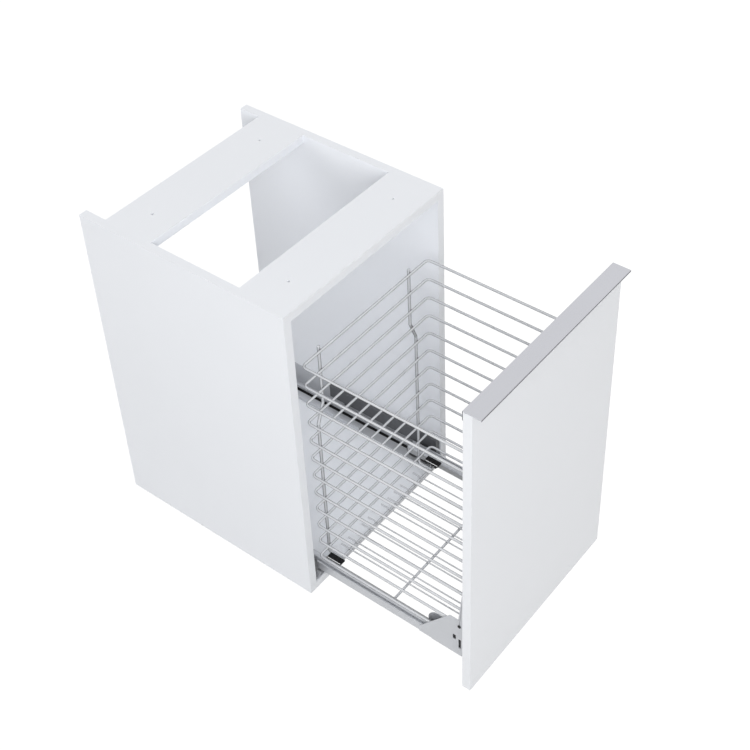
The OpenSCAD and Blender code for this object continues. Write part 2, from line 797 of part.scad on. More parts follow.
side_panel("left");  // side_panel_left
side_panel("right");  // side_panel_right
bottom_panel();
front_stretcher();
rear_stretcher();
edge_bands();
dowels();
cam_bolts();
cam_discs();
for (s = sides) {
    cabinet_profile(s);
    damper_housing(s);
    damper_cylinder(s);
    damper_plunger(s);
    roller_carriage(s);
    front_roller(s);
    rear_roller(s);
    drawer_profile(s);
    guide_shoe(s);
    rail_clip(s);
    front_bracket(s);
    upright_strip(s);
    rear_rod(s);
    front_rod(s);
}
profile_screws();
strip_rivets();
rod_clips();
cross_wires();
floor_wires();
for (i = [1:loop_count])
    basket_loop(i);
front_panel();
handle_profile();
handle_screws();
front_screws();
bumper_pads();
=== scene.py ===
import math

import bmesh
import bpy
from bpy.props import FloatProperty, FloatVectorProperty, PointerProperty
from mathutils import Matrix, Quaternion, Vector


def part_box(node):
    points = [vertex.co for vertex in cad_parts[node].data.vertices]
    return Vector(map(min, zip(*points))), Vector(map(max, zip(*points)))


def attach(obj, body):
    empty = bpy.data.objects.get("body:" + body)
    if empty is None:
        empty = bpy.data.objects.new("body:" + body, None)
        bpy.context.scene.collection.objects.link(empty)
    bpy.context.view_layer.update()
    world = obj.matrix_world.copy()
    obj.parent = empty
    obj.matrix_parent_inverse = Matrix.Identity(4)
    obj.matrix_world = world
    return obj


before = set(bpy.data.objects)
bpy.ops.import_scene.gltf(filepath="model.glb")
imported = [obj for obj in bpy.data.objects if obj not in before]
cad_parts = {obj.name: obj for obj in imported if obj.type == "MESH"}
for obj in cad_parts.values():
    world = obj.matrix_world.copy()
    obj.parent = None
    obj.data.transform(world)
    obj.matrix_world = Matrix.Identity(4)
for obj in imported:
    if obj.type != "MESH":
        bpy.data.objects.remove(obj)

bl_info = {
    "name": "Pull-out base cabinet",
    "version": (1, 0, 0),
    "blender": (4, 5, 0),
    "location": "View3D > Sidebar > Cabinet",
    "description": "Finishes the boards, runners and wire basket of a pull-out base cabinet",
    "category": "Object",
}

MM = 0.001
SIDES = ("left", "right")
SIGNS = {"left": -1, "right": 1}
LOOPS = sorted((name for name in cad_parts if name.startswith("basket_loop_")),
               key=lambda name: int(name.split("_")[-1]))
X_AXIS, Y_AXIS, Z_AXIS = 0, 1, 2


# Sizes and colours


def length(name, description, default):
    return FloatProperty(name=name, description=description, default=default, min=0.0, unit="LENGTH",
                         precision=5)


def colour(name, description, default):
    return FloatVectorProperty(name=name, description=description, default=default, size=3, min=0.0, max=1.0,
                               subtype="COLOR")


def power(name, description, default):
    return FloatProperty(name=name, description=description, default=default, min=0.0, unit="POWER")


AMBIENT = 0.3
POWERS = {"front_left": 63.0, "front": 37.0, "top": 10.0, "right": 70.0, "back": 52.0, "back_left": 18.0}
LAMP_PLACES = {"front_left": (-2.9, -2.2, 2.05), "front": (-2.0, -3.2, 2.2), "top": (-1.2, -1.6, 3.0),
               "right": (3.2, -0.4, 1.6), "back": (-0.5, 3.2, 2.2), "back_left": (-2.6, 2.4, 1.4)}
LAMP_AIM = (0.0, -0.25, 0.4)
LAMP_SIZE = 2.6

SAME_POINT = 0.01 * MM
SHARP_ANGLE = math.radians(40)
STRIP_ROUNDING = 0.3    # edge rounding of a thin strip, as a share of its thickness
LINE_ROUNDING = 0.4     # the same for the painted highlight lines and the catches on the rail clips
RIB_SHARE = 0.5         # width of a rib as a share of the pitch
CROSS_ARM = 0.24        # width of a cross recess's arm as a share of its length
SIDE_CROSS = 0.5        # length of a cross as a share of the head, on profile screws and cam discs
FRONT_CROSS = 0.55      # the same on the screws of the front and the handle


class CabinetSizes(bpy.types.PropertyGroup):
    board_edge: length("Board edge", "Rounding of the boards' edges", 0.5 * MM)
    front_edge: length("Front edge", "Rounding of the front panel's edges", 0.8 * MM)
    sheet_edge: length("Sheet edge", "Rounding of the pressed steel's edges", 0.2 * MM)
    plastic_edge: length("Plastic edge", "Rounding of the moulded plastic's edges", 0.5 * MM)
    bead: length("Weld bead", "Half width of a weld bead between two wires", 1.7 * MM)
    bead_h: length("Weld bead height", "Half height of a weld bead", 1.1 * MM)
    recess_t: length("Recess thickness", "How far a dark screw recess stands out of the head", 0.12 * MM)
    rib_pitch: length("Rib pitch", "Distance between the fine ribs of the grip strips", 2.6 * MM)
    clip_rib_pitch: length("Clip rib pitch", "Distance between the ribs on the rail clips", 4.2 * MM)
    strip_t: length("Strip thickness", "Thickness of the grip and running strips", 0.3 * MM)
    # Painted shadow: the black strip stands for the shade under the fixed profile's guide lip.
    shadow_strip_w: length("Shadow strip width", "Width of the black strip that the carriage runs beside",
                      7.0 * MM)
    # The light line on a rail clip is a painted highlight.
    trim_w: length("Trim width", "Width of the light line and the dark catches on a rail clip", 1.8 * MM)


class CabinetColours(bpy.types.PropertyGroup):
    board: colour("Boards", "White melamine of the carcass boards", (0.873, 0.892, 0.928))
    band: colour("Edge bands", "White edge bands", (0.850, 0.865, 0.890))
    front: colour("Front", "High-gloss lacquer of the front panel", (0.855, 0.872, 0.906))
    wire: colour("Wires", "Silver coat of the wires", (0.685, 0.698, 0.722))
    # The weld points are coloured much darker than the wires.
    weld: colour("Weld points", "Dark metal of the weld points", (0.170, 0.175, 0.180))
    zinc: colour("Zinc", "Zinc-plated sheet steel", (0.570, 0.584, 0.612))
    fixing: colour("Fixings", "Bright plated fixings", (0.600, 0.605, 0.615))
    handle: colour("Handle", "Brushed aluminium of the handle", (0.600, 0.606, 0.645))
    # Dark line on the handle's lip; on the ends of its rear leg the same colour is painted shadow.
    edge_line: colour("Handle edge", "Dark anodised edge of the handle", (0.130, 0.130, 0.145))
    dark_plastic: colour("Dark plastic", "Dark-grey moulded plastic", (0.085, 0.088, 0.095))
    black_plastic: colour("Black plastic", "Black moulded plastic", (0.012, 0.012, 0.013))
    # Nearly white plastic that paints a highlight along the lit edge of each rail clip.
    highlight_plastic: colour("Highlight plastic", "Nearly white moulded plastic", (0.880, 0.885, 0.890))
    # Grey of the grip strips: real ribbing on the inner walls, and painted shade where the strips lie on the
    # rails' tops.
    grip_and_shade_strip: colour("Grip and shade strips", "Grey ribbed strips on the drawer profiles", (0.420, 0.425, 0.435))
    recess: colour("Recesses", "Shade inside the screws' cross recesses", (0.020, 0.020, 0.022))
    nylon: colour("Nylon", "Dark nylon of the rollers", (0.030, 0.030, 0.032))
    beech: colour("Beech", "Beech of the dowels", (0.560, 0.370, 0.210))
    rubber: colour("Rubber", "Clear grey rubber of the bumper pads", (0.560, 0.570, 0.580))
    floor: colour("Floor", "Plain pale floor", (0.450, 0.450, 0.450))


class CabinetStage(bpy.types.PropertyGroup):
    ambient: FloatProperty(name="Ambient", description="Strength of the even light from all around",
                           default=AMBIENT, min=0.0)
    front_left: power("Front left lamp", "Power of the large lamp at the front left", POWERS["front_left"])
    front: power("Front lamp", "Power of the lamp in front", POWERS["front"])
    top: power("Top lamp", "Power of the lamp above the front", POWERS["top"])
    right: power("Right lamp", "Power of the lamp on the right", POWERS["right"])
    back: power("Back lamp", "Power of the lamp behind", POWERS["back"])
    back_left: power("Back left lamp", "Power of the lamp behind on the left", POWERS["back_left"])
    floor_white: FloatProperty(name="Floor white", default=0.8, min=0.0, max=1.0,
                               description="Share of plain white in the floor that is seen")
    floor_size: FloatProperty(name="Floor size", description="Half the length of the floor", default=14.0,
                              min=1.0, unit="LENGTH")


# Shader groups: each gives out values or colours that change over the surface


def add_node(tree, kind, inputs=None, **settings):
    """Adds a node, sets its settings, and links or sets its inputs."""
    node = tree.nodes.new(kind)
    for key, value in settings.items():
        setattr(node, key, value)
    for key, value in (inputs or {}).items():
        if isinstance(value, bpy.types.NodeSocket):
            tree.links.new(value, node.inputs[key])
        else:
            node.inputs[key].default_value = value
    return node


def new_group(name, inputs, outputs):
    """Starts a shader group and returns it with its input and output nodes."""
    group = bpy.data.node_groups.new(name, "ShaderNodeTree")
    for socket, kind, value in inputs:
        group.interface.new_socket(socket, in_out="INPUT", socket_type=kind).default_value = value
    for socket, kind in outputs:
        group.interface.new_socket(socket, in_out="OUTPUT", socket_type=kind)
    return group, group.nodes.new("NodeGroupInput"), group.nodes.new("NodeGroupOutput")


VECTOR_INPUT = ("Vector", "NodeSocketVector", (0.0, 0.0, 0.0))


def tone_group():
    """Slow, faint drift of a colour over the surface."""
    group, given, out = new_group(
        "Tone Drift",
        [VECTOR_INPUT, ("Color", "NodeSocketColor", (1, 1, 1, 1)), ("Scale", "NodeSocketFloat", 5.0),
         ("Amount", "NodeSocketFloat", 0.03)],
        [("Color", "NodeSocketColor")])
    noise = add_node(group, "ShaderNodeTexNoise",
                     {"Vector": given.outputs["Vector"], "Scale": given.outputs["Scale"], "Detail": 3.0,
                      "Roughness": 0.55})
    centred = add_node(group, "ShaderNodeMath", {0: noise.outputs["Fac"], 1: 0.5}, operation="SUBTRACT")
    drift = add_node(group, "ShaderNodeMath", {0: centred.outputs[0], 1: given.outputs["Amount"], 2: 1.0},
                     operation="MULTIPLY_ADD")
    tinted = add_node(group, "ShaderNodeVectorMath", {0: given.outputs["Color"], "Scale": drift.outputs[0]},
                      operation="SCALE")
    group.links.new(tinted.outputs["Vector"], out.inputs["Color"])
    return group


def peel_group():
    """Fine orange peel of melamine, lacquer, powder coat and moulded plastic."""
    group, given, out = new_group(
        "Orange Peel",
        [VECTOR_INPUT, ("Scale", "NodeSocketFloat", 900.0), ("Ripple", "NodeSocketFloat", 0.25)],
        [("Height", "NodeSocketFloat"), ("Mask", "NodeSocketFloat")])
    fine = add_node(group, "ShaderNodeTexNoise",
                    {"Vector": given.outputs["Vector"], "Scale": given.outputs["Scale"], "Detail": 2.0,
                     "Roughness": 0.6})
    slow_scale = add_node(group, "ShaderNodeMath", {0: given.outputs["Scale"], 1: 0.03}, operation="MULTIPLY")
    slow = add_node(group, "ShaderNodeTexNoise",
                    {"Vector": given.outputs["Vector"], "Scale": slow_scale.outputs[0], "Detail": 2.0})
    height = add_node(group, "ShaderNodeMath", {0: slow.outputs["Fac"], 1: given.outputs["Ripple"],
                                                2: fine.outputs["Fac"]}, operation="MULTIPLY_ADD")
    mask = add_node(group, "ShaderNodeMapRange",
                    {"Value": slow.outputs["Fac"], "From Min": 0.3, "From Max": 0.7})
    group.links.new(height.outputs[0], out.inputs["Height"])
    group.links.new(mask.outputs["Result"], out.inputs["Mask"])
    return group


def brush_group():
    """Long fine lines of brushed or drawn metal. The vector given is stretched along the lines."""
    group, given, out = new_group(
        "Brushed Lines",
        [VECTOR_INPUT, ("Scale", "NodeSocketFloat", 1.0), ("Scratches", "NodeSocketFloat", 0.3)],
        [("Height", "NodeSocketFloat"), ("Mask", "NodeSocketFloat")])
    lines = add_node(group, "ShaderNodeTexNoise",
                     {"Vector": given.outputs["Vector"], "Scale": given.outputs["Scale"], "Detail": 6.0,
                      "Roughness": 0.7})
    wide_scale = add_node(group, "ShaderNodeMath", {0: given.outputs["Scale"], 1: 0.22}, operation="MULTIPLY")
    wide = add_node(group, "ShaderNodeTexNoise",
                    {"Vector": given.outputs["Vector"], "Scale": wide_scale.outputs[0], "Detail": 2.0})
    scratch = add_node(group, "ShaderNodeMapRange",
                       {"Value": wide.outputs["Fac"], "From Min": 0.62, "From Max": 0.70})
    height = add_node(group, "ShaderNodeMath", {0: scratch.outputs["Result"], 1: given.outputs["Scratches"],
                                                2: lines.outputs["Fac"]}, operation="MULTIPLY_ADD")
    mask = add_node(group, "ShaderNodeMapRange",
                    {"Value": lines.outputs["Fac"], "From Min": 0.3, "From Max": 0.7})
    group.links.new(height.outputs[0], out.inputs["Height"])
    group.links.new(mask.outputs["Result"], out.inputs["Mask"])
    return group


def spangle_group():
    """Crystals of a zinc coat, with fine rolling lines between them."""
    group, given, out = new_group(
        "Zinc Spangle",
        [VECTOR_INPUT, ("Scale", "NodeSocketFloat", 180.0), ("Grit", "NodeSocketFloat", 0.4)],
        [("Height", "NodeSocketFloat"), ("Mask", "NodeSocketFloat")])
    cells = add_node(group, "ShaderNodeTexVoronoi",
                     {"Vector": given.outputs["Vector"], "Scale": given.outputs["Scale"], "Randomness": 1.0})
    tone = add_node(group, "ShaderNodeSeparateColor", {"Color": cells.outputs["Color"]})
    grit_scale = add_node(group, "ShaderNodeMath", {0: given.outputs["Scale"], 1: 9.0}, operation="MULTIPLY")
    grit = add_node(group, "ShaderNodeTexNoise",
                    {"Vector": given.outputs["Vector"], "Scale": grit_scale.outputs[0], "Detail": 2.0})
    height = add_node(group, "ShaderNodeMath", {0: grit.outputs["Fac"], 1: given.outputs["Grit"],
                                                2: tone.outputs[0]}, operation="MULTIPLY_ADD")
    group.links.new(height.outputs[0], out.inputs["Height"])
    group.links.new(tone.outputs[1], out.inputs["Mask"])
    return group


GROUP_MAKERS = {"tone": tone_group, "peel": peel_group, "brush": brush_group, "spangle": spangle_group}
GROUPS = {}


def shader_group(name):
    """Makes a shader group the first time it is asked for, and returns it."""
    if name not in GROUPS:
        GROUPS[name] = GROUP_MAKERS[name]()
    return GROUPS[name]


# Finishes


# Bump is strength and distance in mm, rough is smoothest and roughest, drift is scale and amount of the tone,
# and rim is start, end and darkest share of the painted shade towards a round wire's edges.
EVEN = (1.0, 1.0, 1.0)
FINISHES = {
    "Satin Melamine": dict(colour="board", group="peel", stretch=EVEN,
                           values={"Scale": 1300.0, "Ripple": 0.4}, bump=(0.10, 0.05), rough=(0.38, 0.50),
                           drift=(3.0, 0.030)),
    "Edge Band": dict(colour="band", group="peel", stretch=EVEN, values={"Scale": 1500.0, "Ripple": 0.3},
                      bump=(0.10, 0.05), rough=(0.34, 0.46), drift=(6.0, 0.025)),
    "Gloss Lacquer": dict(colour="front", group="peel", stretch=EVEN, values={"Scale": 260.0, "Ripple": 1.4},
                          bump=(0.03, 0.08), rough=(0.16, 0.24), drift=(2.0, 0.020),
                          constants={"Coat Weight": 0.35, "Coat Roughness": 0.06}),
    "Silver Powder Coat": dict(colour="wire", group="peel", stretch=EVEN,
                               values={"Scale": 2600.0, "Ripple": 0.2}, bump=(0.22, 0.08),
                               rough=(0.30, 0.44), drift=(30.0, 0.10), rim=(0.26, 0.76, 0.12),
                               constants={"Metallic": 0.30, "Specular IOR Level": 0.2}),
    "Zinc Sheet": dict(colour="zinc", group="spangle", stretch=(1.0, 0.35, 1.0),
                       values={"Scale": 320.0, "Grit": 0.5}, bump=(0.03, 0.02), rough=(0.34, 0.42),
                       drift=(12.0, 0.05), constants={"Metallic": 0.38}),
    "Bright Fixing": dict(colour="fixing", group="brush", stretch=(1.0, 0.2, 1.0),
                          values={"Scale": 900.0, "Scratches": 0.3}, bump=(0.12, 0.03), rough=(0.20, 0.34),
                          drift=(60.0, 0.10), constants={"Metallic": 0.95}),
    "Brushed Aluminium": dict(colour="handle", group="brush", stretch=(0.012, 1.0, 1.0),
                              values={"Scale": 1500.0, "Scratches": 0.15}, bump=(0.06, 0.02),
                              rough=(0.20, 0.28), drift=(3.0, 0.12), constants={"Metallic": 1.0}),
    "Dark Anodised": dict(colour="edge_line", group="brush", stretch=(0.012, 1.0, 1.0),
                          values={"Scale": 1500.0, "Scratches": 0.15}, bump=(0.06, 0.02), rough=(0.30, 0.40),
                          drift=(3.0, 0.12), constants={"Metallic": 0.6}),
    "Dark Plastic": dict(colour="dark_plastic", group="peel", stretch=EVEN,
                         values={"Scale": 1100.0, "Ripple": 0.5}, bump=(0.16, 0.06), rough=(0.34, 0.50),
                         drift=(20.0, 0.12)),
    "Black Plastic": dict(colour="black_plastic", group="peel", stretch=EVEN,
                          values={"Scale": 900.0, "Ripple": 0.6}, bump=(0.18, 0.06), rough=(0.40, 0.55),
                          drift=(25.0, 0.20), constants={"Specular IOR Level": 0.15}),
    "Light Plastic": dict(colour="highlight_plastic", group="peel", stretch=EVEN,
                          values={"Scale": 900.0, "Ripple": 0.6}, bump=(0.16, 0.06), rough=(0.34, 0.48),
                          drift=(25.0, 0.08)),
    "Weld Metal": dict(colour="weld", group="peel", stretch=EVEN, values={"Scale": 2600.0, "Ripple": 0.5},
                       bump=(0.20, 0.08), rough=(0.40, 0.55), drift=(60.0, 0.20),
                       constants={"Metallic": 0.5}),
    "Grip Strip": dict(colour="grip_and_shade_strip", group="peel", stretch=EVEN,
                       values={"Scale": 1400.0, "Ripple": 0.4}, bump=(0.14, 0.05), rough=(0.45, 0.60),
                       drift=(30.0, 0.12)),
    "Recess Shade": dict(colour="recess", group="brush", stretch=EVEN,
                         values={"Scale": 1600.0, "Scratches": 0.3}, bump=(0.10, 0.03), rough=(0.55, 0.70),
                         drift=(80.0, 0.20)),
    "Roller Nylon": dict(colour="nylon", group="brush", stretch=(1.0, 0.35, 0.35),
                         values={"Scale": 1400.0, "Scratches": 0.2}, bump=(0.14, 0.04), rough=(0.32, 0.46),
                         drift=(40.0, 0.20)),
    "Beech": dict(colour="beech", group="brush", stretch=(0.10, 1.0, 1.0),
                  values={"Scale": 1300.0, "Scratches": 0.5}, bump=(0.25, 0.08), rough=(0.50, 0.70),
                  drift=(220.0, 0.45)),
    "Pad Rubber": dict(colour="rubber", group="peel", stretch=EVEN, values={"Scale": 1800.0, "Ripple": 0.5},
                       bump=(0.12, 0.05), rough=(0.45, 0.60), drift=(60.0, 0.08)),
}


def finish_material(name):
    """Makes one finish from its row, or returns it if it is there."""
    if name in bpy.data.materials:
        return bpy.data.materials[name]
    row = FINISHES[name]
    material = bpy.data.materials.new(name)
    material.use_nodes = True
    tree = material.node_tree
    shader = next(n for n in tree.nodes if n.type == "BSDF_PRINCIPLED")
    place = add_node(tree, "ShaderNodeTexCoord")
    pattern = add_node(tree, "ShaderNodeMapping",
                       {"Vector": place.outputs["Object"], "Scale": row["stretch"]})
    texture = add_node(tree, "ShaderNodeGroup", node_tree=shader_group(row["group"]))
    tree.links.new(pattern.outputs["Vector"], texture.inputs["Vector"])
    for socket, value in row["values"].items():
        texture.inputs[socket].default_value = value
    tone = add_node(tree, "ShaderNodeGroup", node_tree=shader_group("tone"))
    tree.links.new(place.outputs["Object"], tone.inputs["Vector"])
    tone.inputs["Color"].default_value = (*getattr(bpy.context.scene.cabinet_colours, row["colour"]), 1.0)
    tone.inputs["Scale"].default_value, tone.inputs["Amount"].default_value = row["drift"]
    rough = add_node(tree, "ShaderNodeMapRange", {"Value": texture.outputs["Mask"], "To Min": row["rough"][0],
                                                  "To Max": row["rough"][1]})
    strength, distance = row["bump"]
    bump = add_node(tree, "ShaderNodeBump", {"Height": texture.outputs["Height"], "Strength": strength,
                                             "Distance": distance * MM})
    colour_out = tone.outputs["Color"]
    # Painted shade: the colour darkens towards a round wire's edges, by how much the surface faces the
    # camera.
    if "rim" in row:
        start, end, darkest = row["rim"]
        facing = add_node(tree, "ShaderNodeLayerWeight", {"Blend": 0.5})
        rim = add_node(tree, "ShaderNodeMapRange", {"Value": facing.outputs["Facing"], "From Min": start,
                                                    "From Max": end, "To Min": 1.0, "To Max": darkest})
        shaded = add_node(tree, "ShaderNodeVectorMath", {0: colour_out, "Scale": rim.outputs["Result"]},
                          operation="SCALE")
        colour_out = shaded.outputs["Vector"]
    tree.links.new(colour_out, shader.inputs["Base Color"])
    tree.links.new(rough.outputs["Result"], shader.inputs["Roughness"])
    tree.links.new(bump.outputs["Normal"], shader.inputs["Normal"])
    for socket, value in row.get("constants", {}).items():
        shader.inputs[socket].default_value = value
    return material


# Helpers for nodes and pieces


def dress(nodes, finish):
    """Gives CAD nodes a finish."""
    material = finish_material(finish)
    for name in nodes:
        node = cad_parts[name]
        for slot in node.material_slots:
            slot.material = material
        if not node.material_slots:
            node.data.materials.append(material)


def soften(nodes, width, segments=2):
    """Rounds the edges of CAD nodes with modifiers, which leave their meshes as they are."""
    for name in nodes:
        add_rounding(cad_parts[name], width, segments)


def add_rounding(node, width, segments):
    """Merges the doubles of a node and rounds its sharp edges."""
    weld = node.modifiers.new("Weld", "WELD")
    weld.merge_threshold = SAME_POINT
    bevel = node.modifiers.new("Edge rounding", "BEVEL")
    bevel.width = width
    bevel.segments = segments
    bevel.limit_method = "ANGLE"
    bevel.angle_limit = SHARP_ANGLE
    bevel.miter_outer = "MITER_ARC"


def sides(stem):
    """The names of the left and the right node of a pair."""
    return [stem + "_" + side for side in SIDES]


def make_piece(name, mesh, body, finish):
    """Turns a bmesh into a piece that rides on a body."""
    bmesh.ops.recalc_face_normals(mesh, faces=mesh.faces)
    data = bpy.data.meshes.new(name)
    mesh.to_mesh(data)
    mesh.free()
    data.materials.append(finish_material(finish))
    piece = bpy.data.objects.new(name, data)
    bpy.context.scene.collection.objects.link(piece)
    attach(piece, body)


def move(mesh, verts, place, scale):
    """Scales new vertices and moves them to their place."""
    matrix = Matrix.Translation(place) @ Matrix.Diagonal((*scale, 1.0))
    bmesh.ops.transform(mesh, matrix=matrix, verts=verts)


def add_block(mesh, low, high, rounding=0.0, segments=2):
    """A block between two corners, with rounded edges."""
    low, high = Vector(low), Vector(high)
    made = bmesh.ops.create_cube(mesh, size=1.0)
    verts = made["verts"]
    move(mesh, verts, (low + high) / 2, high - low)
    if rounding:
        edges = list({e for v in verts for e in v.link_edges})
        bmesh.ops.bevel(mesh, geom=edges, offset=rounding, offset_type="OFFSET", segments=segments,
                        profile=0.5, affect="EDGES", clamp_overlap=True, material=-1)


def add_bead(mesh, place, scale):
    """A small flattened ball with smooth shading."""
    made = bmesh.ops.create_uvsphere(mesh, u_segments=10, v_segments=6, radius=1.0)
    move(mesh, made["verts"], place, scale)
    for face in {f for v in made["verts"] for f in v.link_faces}:
        face.smooth = True


def add_ribs(mesh, low, high, axis, pitch, share, rounding=0.0):
    """Small blocks side by side along an axis, each a share of the pitch wide."""
    low, high = Vector(low), Vector(high)
    count = max(int((high[axis] - low[axis]) / pitch), 1)
    for k in range(count):
        start, end = low.copy(), high.copy()
        start[axis] = low[axis] + k * pitch
        end[axis] = start[axis] + pitch * share
        add_block(mesh, start, end, rounding, segments=1)


def mirrored(sign, low, high):
    """Two corners given for the right side, turned to the side of the sign."""
    xs = sorted((sign * low[0], sign * high[0]))
    return (xs[0], low[1], low[2]), (xs[1], high[1], high[2])


def solid_boxes(name):
    """The box of each separate solid of a CAD node, read from a copy of its mesh and sorted by place."""
    mesh = bmesh.new()
    mesh.from_mesh(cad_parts[name].data)
    bmesh.ops.remove_doubles(mesh, verts=mesh.verts, dist=SAME_POINT)
    boxes, left = [], set(mesh.verts)
    while left:
        start = left.pop()
        group, queue = [start], [start]
        while queue:
            for edge in queue.pop().link_edges:
                for vert in edge.verts:
                    if vert in left:
                        left.discard(vert)
                        group.append(vert)
                        queue.append(vert)
        boxes.append(tuple(Vector(pick(v.co[k] for v in group) for k in range(3)) for pick in (min, max)))
    mesh.free()
    return sorted(boxes, key=lambda box: tuple(box[0]))


def add_cross(mesh, centre, axis, width, thickness):
    """A thin dark cross standing on a flat head, across an axis: painted shade of a cross recess."""
    arm = width * CROSS_ARM
    spans = [k for k in range(3) if k != axis]
    for long_one, short_one in (spans, spans[::-1]):
        half = Vector((0.0, 0.0, 0.0))
        half[axis], half[long_one], half[short_one] = thickness, width / 2, arm / 2
        add_block(mesh, centre - half, centre + half)


# Pieces


class CABINET_OT_boards(bpy.types.Operator):
    """Melamine boards with softly broken edges, and their front edge bands"""
    bl_idname = "cabinet.boards"
    bl_label = "Boards"

    def execute(self, context):
        sizes = context.scene.cabinet_sizes
        boards = sides("side_panel") + ["bottom_panel", "front_stretcher", "rear_stretcher"]
        dress(boards, "Satin Melamine")
        dress(["edge_bands"], "Edge Band")
        dress(["dowels"], "Beech")
        soften(boards + ["edge_bands"], sizes.board_edge)
        return {"FINISHED"}


class CABINET_OT_front(bpy.types.Operator):
    """Gloss front panel with its aluminium handle and bumper pads"""
    bl_idname = "cabinet.front"
    bl_label = "Front"

    def execute(self, context):
        sizes = context.scene.cabinet_sizes
        dress(["front_panel"], "Gloss Lacquer")
        soften(["front_panel"], sizes.front_edge, segments=3)
        dress(["handle_profile"], "Brushed Aluminium")
        soften(["handle_profile"], sizes.sheet_edge)
        self.add_handle_edges(sizes)
        dress(["bumper_pads"], "Pad Rubber")
        soften(["bumper_pads"], sizes.plastic_edge, segments=3)
        return {"FINISHED"}

    def add_handle_edges(self, sizes):
        """A dark line along the grip lip, and a dark block on each end of the rear leg as painted shadow
        under the plate.
        """
        low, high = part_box("handle_profile")
        panel_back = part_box("front_panel")[1].y
        inset, line_h, thin = 0.4 * MM, 2.6 * MM, sizes.strip_t
        rounding = thin * STRIP_ROUNDING
        mesh = bmesh.new()
        add_block(mesh, (low.x + inset, low.y - thin, high.z - line_h),
                  (high.x - inset, low.y, high.z - inset), rounding)
        for start, end in ((low.x - thin, low.x), (high.x, high.x + thin)):
            add_block(mesh, (start, panel_back, low.z), (end, high.y, high.z - inset), rounding)
        make_piece("handle_edges", mesh, "drawer", "Dark Anodised")


class CABINET_OT_runners(bpy.types.Operator):
    """Steel runners with their plastic housings, carriages, rollers and clips"""
    bl_idname = "cabinet.runners"
    bl_label = "Runners"

    def execute(self, context):
        sizes = context.scene.cabinet_sizes
        steel = (sides("cabinet_profile") + sides("drawer_profile") + sides("front_bracket")
                 + sides("upright_strip"))
        dress(steel, "Zinc Sheet")
        soften(steel, sizes.sheet_edge, segments=1)
        dark = sides("damper_housing") + sides("roller_carriage") + ["rod_clips"]
        dress(dark, "Dark Plastic")
        black = sides("damper_cylinder") + sides("damper_plunger") + sides("guide_shoe") + sides("rail_clip")
        dress(black, "Black Plastic")
        soften(sides("damper_housing") + sides("rail_clip") + ["rod_clips"], sizes.plastic_edge)
        dress(sides("front_roller") + sides("rear_roller"), "Roller Nylon")
        soften(sides("front_roller") + sides("rear_roller"), sizes.plastic_edge)
        return {"FINISHED"}


class CABINET_OT_clip_details(bpy.types.Operator):
    """Ribs, light lines of painted highlight, and dark catches on the rail clips"""
    bl_idname = "cabinet.clip_details"
    bl_label = "Clip details"

    def execute(self, context):
        sizes = context.scene.cabinet_sizes
        edge, thin = 1.2 * MM, sizes.strip_t
        catch_places = {"left": -172.2 * MM, "right": 175.8 * MM}
        front_catch_end, rear_catch_start = 0.36, 0.56
        for side in SIDES:
            low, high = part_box("rail_clip_" + side)
            rail_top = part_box("drawer_profile_" + side)[1].z
            line_x, line_end = low.x + edge, low.x + edge + sizes.trim_w
            ribs = bmesh.new()
            add_ribs(ribs, (line_end, low.y + edge, high.z), (high.x - edge, high.y - edge, high.z + thin),
                     Y_AXIS, sizes.clip_rib_pitch, RIB_SHARE, thin * STRIP_ROUNDING)
            make_piece("clip_ribs_" + side, ribs, "drawer", "Black Plastic")
            # Painted highlight: a light line along the clip's edge on the side the light comes from.
            light = bmesh.new()
            add_block(light, (line_x, low.y + edge, high.z - thin), (line_end, high.y - edge, high.z + thin),
                      thin * LINE_ROUNDING)
            make_piece("clip_line_" + side, light, "drawer", "Light Plastic")
            dark = bmesh.new()
            catch_x = catch_places[side]
            clip_l = high.y - low.y
            for start, end in ((low.y, low.y + front_catch_end * clip_l),
                               (low.y + rear_catch_start * clip_l, high.y)):
                add_block(dark, (catch_x, start, rail_top),
                          (catch_x + sizes.trim_w, end, rail_top + thin * 2), thin * LINE_ROUNDING)
            make_piece("clip_catch_" + side, dark, "drawer", "Black Plastic")
        return {"FINISHED"}


